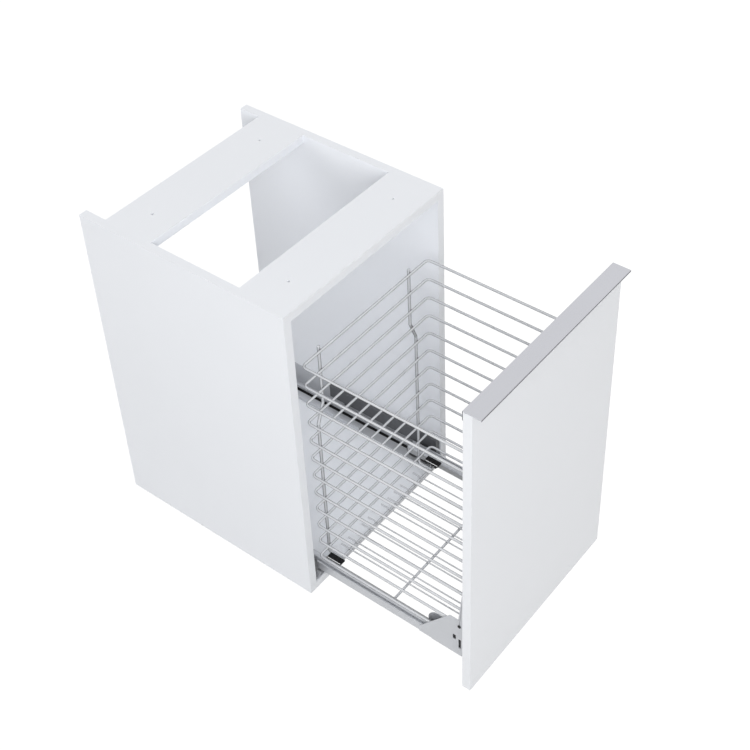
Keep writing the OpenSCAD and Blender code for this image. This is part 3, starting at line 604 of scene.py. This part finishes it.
class CABINET_OT_strips(bpy.types.Operator):
    """Ribbed grip strips on the drawer profiles, partly painted shade, and black strips of painted shadow in
    the fixed profiles
    """
    bl_idname = "cabinet.strips"
    bl_label = "Strips"

    def execute(self, context):
        sizes = context.scene.cabinet_sizes
        for side, sign in SIGNS.items():
            self.add_grip_and_shade_strip(sizes, side, sign)
            self.add_shadow_strip(sizes, side, sign)
        return {"FINISHED"}

    def add_grip_and_shade_strip(self, sizes, side, sign):
        """A ribbed strip on the inner wall, and a grey strip on top as painted shade on the half of the
        rounded top that faces away from the light: wide at the left, narrow at the right.
        """
        thin, margin = sizes.strip_t, MM
        wall_low, wall_top = 14 * MM, 3 * MM
        wide_end, narrow_start, narrow_end = 8.2 * MM, 8.6 * MM, 10.4 * MM
        front_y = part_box("front_bracket_right")[1].y
        low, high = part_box("drawer_profile_" + side)
        clip_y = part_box("rail_clip_" + side)[0].y
        inner = min(abs(low.x), abs(high.x))
        start_y, end_y = low.y + margin, high.y - margin
        mesh = bmesh.new()
        add_block(mesh, *mirrored(sign, (inner - thin, front_y, high.z - wall_low),
                                  (inner, end_y, high.z - wall_top)))
        wall_ribs = mirrored(sign, (inner - 2 * thin, front_y, high.z - wall_low),
                             (inner - thin, end_y, high.z - wall_top))
        add_ribs(mesh, *wall_ribs, Y_AXIS, sizes.rib_pitch, RIB_SHARE)
        # Painted shade: on the left a strip on the inner half of the rounded top, on the right a narrow strip
        # on its outer half.
        if side == "left":
            add_block(mesh, *mirrored(sign, (inner + margin, start_y, high.z),
                                      (inner + wide_end, clip_y, high.z + thin)))
            top_ribs = mirrored(sign, (inner + margin, start_y, high.z + thin),
                                (inner + wide_end, clip_y, high.z + 2 * thin))
            add_ribs(mesh, *top_ribs, Y_AXIS, sizes.rib_pitch, RIB_SHARE)
        else:
            add_block(mesh, *mirrored(sign, (inner + narrow_start, start_y, high.z),
                                      (inner + narrow_end, end_y, high.z + thin)))
        make_piece("grip_strip_" + side, mesh, "drawer", "Grip Strip")

    def add_shadow_strip(self, sizes, side, sign):
        """A black strip along the web of the fixed profile: painted shadow under the guide lip."""
        thin, margin, half_w = sizes.strip_t, MM, sizes.shadow_strip_w / 2
        centre, start_y, web_t = 186.3 * MM, -179 * MM, 1.5 * MM
        low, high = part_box("cabinet_profile_" + side)
        web_top = low.z + web_t
        mesh = bmesh.new()
        add_block(mesh, *mirrored(sign, (centre - half_w, start_y, web_top),
                                  (centre + half_w, high.y - margin, web_top + thin)), thin * STRIP_ROUNDING)
        make_piece("running_strip_" + side, mesh, "carcass", "Black Plastic")


class CABINET_OT_hole_shades(bpy.types.Operator):
    """Dark blocks behind the front brackets' holes: painted shade seen through the holes, between the plates
    """
    bl_idname = "cabinet.adjusters"
    bl_label = "Adjusters"

    def execute(self, context):
        sizes = context.scene.cabinet_sizes
        panel_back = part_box("front_panel")[1].y
        block_w = 13 * MM
        start_y, end_y = panel_back + 20 * MM, panel_back + 54 * MM
        base_h, top_h = 18 * MM, 56 * MM
        for side, sign in SIGNS.items():
            low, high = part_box("drawer_profile_" + side)
            outer = max(abs(low.x), abs(high.x))
            mesh = bmesh.new()
            # Painted shade: a black block fills the gap between the plates behind the hole.
            add_block(mesh, *mirrored(sign, (outer - block_w, start_y, low.z + base_h),
                                      (outer, end_y, low.z + top_h)), sizes.plastic_edge)
            make_piece("adjuster_" + side, mesh, "drawer", "Black Plastic")
        return {"FINISHED"}


class CABINET_OT_recesses(bpy.types.Operator):
    """Thin dark crosses on the screw heads and cam discs: painted shade of their cross recesses"""
    bl_idname = "cabinet.recesses"
    bl_label = "Recesses"

    def execute(self, context):
        thick = context.scene.cabinet_sizes.recess_t
        fixed, moving = bmesh.new(), bmesh.new()
        for low, high in solid_boxes("profile_screws"):
            centre = (low + high) / 2
            centre.x = high.x if centre.x < 0 else low.x
            add_cross(fixed, centre, X_AXIS, (high.z - low.z) * SIDE_CROSS, thick)
        for low, high in solid_boxes("cam_discs"):
            centre = (low + high) / 2
            centre.z = low.z
            add_cross(fixed, centre, Z_AXIS, (high.x - low.x) * SIDE_CROSS, thick)
        for name in ("front_screws", "handle_screws"):
            for low, high in solid_boxes(name):
                centre = (low + high) / 2
                centre.y = high.y
                add_cross(moving, centre, Y_AXIS, (high.x - low.x) * FRONT_CROSS, thick)
        make_piece("carcass_recesses", fixed, "carcass", "Recess Shade")
        make_piece("drawer_recesses", moving, "drawer", "Recess Shade")
        return {"FINISHED"}


class CABINET_OT_fixings(bpy.types.Operator):
    """Plated screws, cam bolts and cam discs, and the rivets in black as painted shade of a hole"""
    bl_idname = "cabinet.fixings"
    bl_label = "Fixings"

    def execute(self, context):
        dress(["cam_bolts", "cam_discs", "profile_screws", "handle_screws", "front_screws"], "Bright Fixing")
        # Painted shade: the rivets are black to stand for a dark hole.
        dress(["strip_rivets"], "Black Plastic")
        return {"FINISHED"}


class CABINET_OT_basket(bpy.types.Operator):
    """Coated wires of the basket"""
    bl_idname = "cabinet.basket"
    bl_label = "Basket"

    def execute(self, context):
        wires = LOOPS + sides("rear_rod") + sides("front_rod") + ["cross_wires", "floor_wires"]
        dress(wires, "Silver Powder Coat")
        return {"FINISHED"}


class CABINET_OT_weld_beads(bpy.types.Operator):
    """Small beads where the basket's wires are welded to each other"""
    bl_idname = "cabinet.weld_beads"
    bl_label = "Weld beads"

    def execute(self, context):
        sizes = context.scene.cabinet_sizes
        around, flat = sizes.bead, sizes.bead_h
        rod_bead, foot_bead, floor_count = 1.5, 1.2, 12
        mesh = bmesh.new()
        rear_low, rear_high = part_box("rear_rod_right")
        front_low, front_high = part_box("front_rod_right")
        rod_d = front_high.x - front_low.x
        top_x = rear_low.x + rod_d / 2
        low_x = rear_high.x - rod_d / 2
        for name in LOOPS:
            low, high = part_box(name)
            z = (low.z + high.z) / 2
            for sign in (-1, 1):
                add_bead(mesh, (sign * front_high.x, (front_low.y + front_high.y) / 2, z),
                         (flat, around, around))
            x = self.rod_x(z, top_x, low_x)
            for sign in (-1, 1):
                add_bead(mesh, (sign * x, high.y, z), (rod_bead * around, rod_bead * flat, rod_bead * around))
        floor_low, floor_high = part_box("floor_wires")
        cross_low, cross_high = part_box("cross_wires")
        wire_d = floor_high.z - floor_low.z
        first_x, last_x = floor_low.x + wire_d / 2, floor_high.x - wire_d / 2
        cross_d = cross_high.z - cross_low.z
        rows = (cross_low.y + cross_d / 2, (cross_low.y + cross_high.y) / 2, cross_high.y - cross_d / 2)
        for i in range(floor_count):
            x = first_x + (last_x - first_x) * i / (floor_count - 1)
            for y in rows:
                add_bead(mesh, (x, y, cross_high.z), (around, around, flat))
        for sign in (-1, 1):
            add_bead(mesh, (sign * low_x, rows[2], cross_high.z),
                     (around * foot_bead, around * foot_bead, flat))
        make_piece("weld_beads", mesh, "drawer", "Weld Metal")
        return {"FINISHED"}

    def rod_x(self, z, top_x, low_x):
        """The rear rod's sideways place at a height, from the upright's jog."""
        jog_top, jog_low = 446.0 * MM, 402.2 * MM
        share = min(max((z - jog_low) / (jog_top - jog_low), 0.0), 1.0)
        return low_x + (top_x - low_x) * share


class CABINET_OT_stage(bpy.types.Operator):
    """Pale floor, soft light, white surroundings and the camera"""
    bl_idname = "cabinet.stage"
    bl_label = "Stage"

    def execute(self, context):
        stage = context.scene.cabinet_stage
        self.add_floor(context, stage)
        self.add_world(context, stage)
        for name, place in LAMP_PLACES.items():
            self.add_lamp(context, name + "_lamp", getattr(stage, name), Vector(place))
        self.add_camera(context)
        context.scene.view_settings.view_transform = "Standard"
        return {"FINISHED"}

    def add_floor(self, context, stage):
        """A floor just under the cabinet, which the camera sees as almost plain white."""
        drop = 0.5 * MM
        mesh = bmesh.new()
        bmesh.ops.create_grid(mesh, x_segments=1, y_segments=1, size=stage.floor_size)
        bmesh.ops.translate(mesh, vec=(0.0, 0.0, -drop), verts=mesh.verts)
        data = bpy.data.meshes.new("floor")
        mesh.to_mesh(data)
        mesh.free()
        floor = bpy.data.objects.new("floor", data)
        context.scene.collection.objects.link(floor)
        material = bpy.data.materials.new("Pale Floor")
        material.use_nodes = True
        tree = material.node_tree
        shader = next(n for n in tree.nodes if n.type == "BSDF_PRINCIPLED")
        shader.inputs["Base Color"].default_value = (*context.scene.cabinet_colours.floor, 1.0)
        shader.inputs["Roughness"].default_value = 0.9
        shader.inputs["Specular IOR Level"].default_value = 0.1
        white = add_node(tree, "ShaderNodeEmission", {"Color": (1, 1, 1, 1), "Strength": 1.22})
        seen = self.seen_plainly(tree)
        share = add_node(tree, "ShaderNodeMath", {0: seen, 1: stage.floor_white}, operation="MULTIPLY")
        mix = add_node(tree, "ShaderNodeMixShader",
                       {0: share.outputs[0], 1: shader.outputs["BSDF"], 2: white.outputs["Emission"]})
        output = next(n for n in tree.nodes if n.type == "OUTPUT_MATERIAL")
        tree.links.new(mix.outputs[0], output.inputs["Surface"])
        data.materials.append(material)

    def seen_plainly(self, tree):
        """1 where the camera, a reflection or glass sees the surface, else 0."""
        path = add_node(tree, "ShaderNodeLightPath")
        first = add_node(tree, "ShaderNodeMath",
                         {0: path.outputs["Is Camera Ray"], 1: path.outputs["Is Glossy Ray"]},
                         operation="MAXIMUM")
        second = add_node(tree, "ShaderNodeMath",
                          {0: first.outputs[0], 1: path.outputs["Is Transmission Ray"]}, operation="MAXIMUM")
        return second.outputs[0]

    def add_world(self, context, stage):
        """Surroundings that look white and light the cabinet with the ambient strength."""
        world = bpy.data.worlds.new("White surroundings")
        world.use_nodes = True
        context.scene.world = world
        tree = world.node_tree
        background = next(n for n in tree.nodes if n.type == "BACKGROUND")
        background.inputs["Color"].default_value = (1, 1, 1, 1)
        strength = add_node(tree, "ShaderNodeMapRange",
                            {"Value": self.seen_plainly(tree), "To Min": stage.ambient, "To Max": 1.0})
        tree.links.new(strength.outputs["Result"], background.inputs["Strength"])

    def add_lamp(self, context, name, strength, place):
        """A square lamp that lights the cabinet and doesn't show in its gloss."""
        data = bpy.data.lights.new(name, "AREA")
        data.energy = strength
        data.size = LAMP_SIZE
        lamp = bpy.data.objects.new(name, data)
        lamp.visible_glossy = False
        lamp.location = place
        lamp.rotation_mode = "QUATERNION"
        lamp.rotation_quaternion = (Vector(LAMP_AIM) - place).to_track_quat("-Z", "Y")
        context.scene.collection.objects.link(lamp)

    def add_camera(self, context):
        """The photograph's viewing angle: place, aim, lens, shift and roll."""
        place = Vector((-1.50612, -1.52584, 2.29221))
        aim = Vector((0.18809, -0.22587, 0.52092))
        roll = Quaternion((0.0, 0.0, 1.0), math.radians(-1.1224))
        data = bpy.data.cameras.new("Camera")
        data.sensor_width = 36.0
        data.lens = 69.2485
        data.shift_x, data.shift_y = -0.0667, -0.1293
        camera = bpy.data.objects.new("Camera", data)
        camera.location = place
        camera.rotation_mode = "QUATERNION"
        camera.rotation_quaternion = (aim - place).to_track_quat("-Z", "Y") @ roll
        context.scene.collection.objects.link(camera)
        context.scene.camera = camera


class CABINET_PT_panel(bpy.types.Panel):
    bl_idname = "CABINET_PT_panel"
    bl_label = "Pull-out cabinet"
    bl_space_type = "VIEW_3D"
    bl_region_type = "UI"
    bl_category = "Cabinet"

    def draw(self, context):
        scene = context.scene
        for group in (scene.cabinet_sizes, scene.cabinet_colours, scene.cabinet_stage):
            column = self.layout.column()
            for name in group.__annotations__:
                column.prop(group, name)
        for operator in OPERATORS:
            self.layout.operator(operator.bl_idname)


OPERATORS = (CABINET_OT_boards, CABINET_OT_front, CABINET_OT_runners, CABINET_OT_clip_details,
             CABINET_OT_strips, CABINET_OT_hole_shades, CABINET_OT_fixings, CABINET_OT_recesses,
             CABINET_OT_basket, CABINET_OT_weld_beads, CABINET_OT_stage)
CLASSES = (CabinetSizes, CabinetColours, CabinetStage) + OPERATORS + (CABINET_PT_panel,)


def register():
    for cls in CLASSES:
        bpy.utils.register_class(cls)
    bpy.types.Scene.cabinet_sizes = PointerProperty(type=CabinetSizes)
    bpy.types.Scene.cabinet_colours = PointerProperty(type=CabinetColours)
    bpy.types.Scene.cabinet_stage = PointerProperty(type=CabinetStage)


def unregister():
    del bpy.types.Scene.cabinet_stage
    del bpy.types.Scene.cabinet_colours
    del bpy.types.Scene.cabinet_sizes
    for cls in reversed(CLASSES):
        bpy.utils.unregister_class(cls)


def main():
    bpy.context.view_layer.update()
    register()
    bpy.ops.cabinet.boards()
    bpy.ops.cabinet.front()
    bpy.ops.cabinet.runners()
    bpy.ops.cabinet.clip_details()
    bpy.ops.cabinet.strips()
    bpy.ops.cabinet.adjusters()
    bpy.ops.cabinet.fixings()
    bpy.ops.cabinet.recesses()
    bpy.ops.cabinet.basket()
    bpy.ops.cabinet.weld_beads()
    bpy.ops.cabinet.stage()


if __name__ == "__main__":
    main()
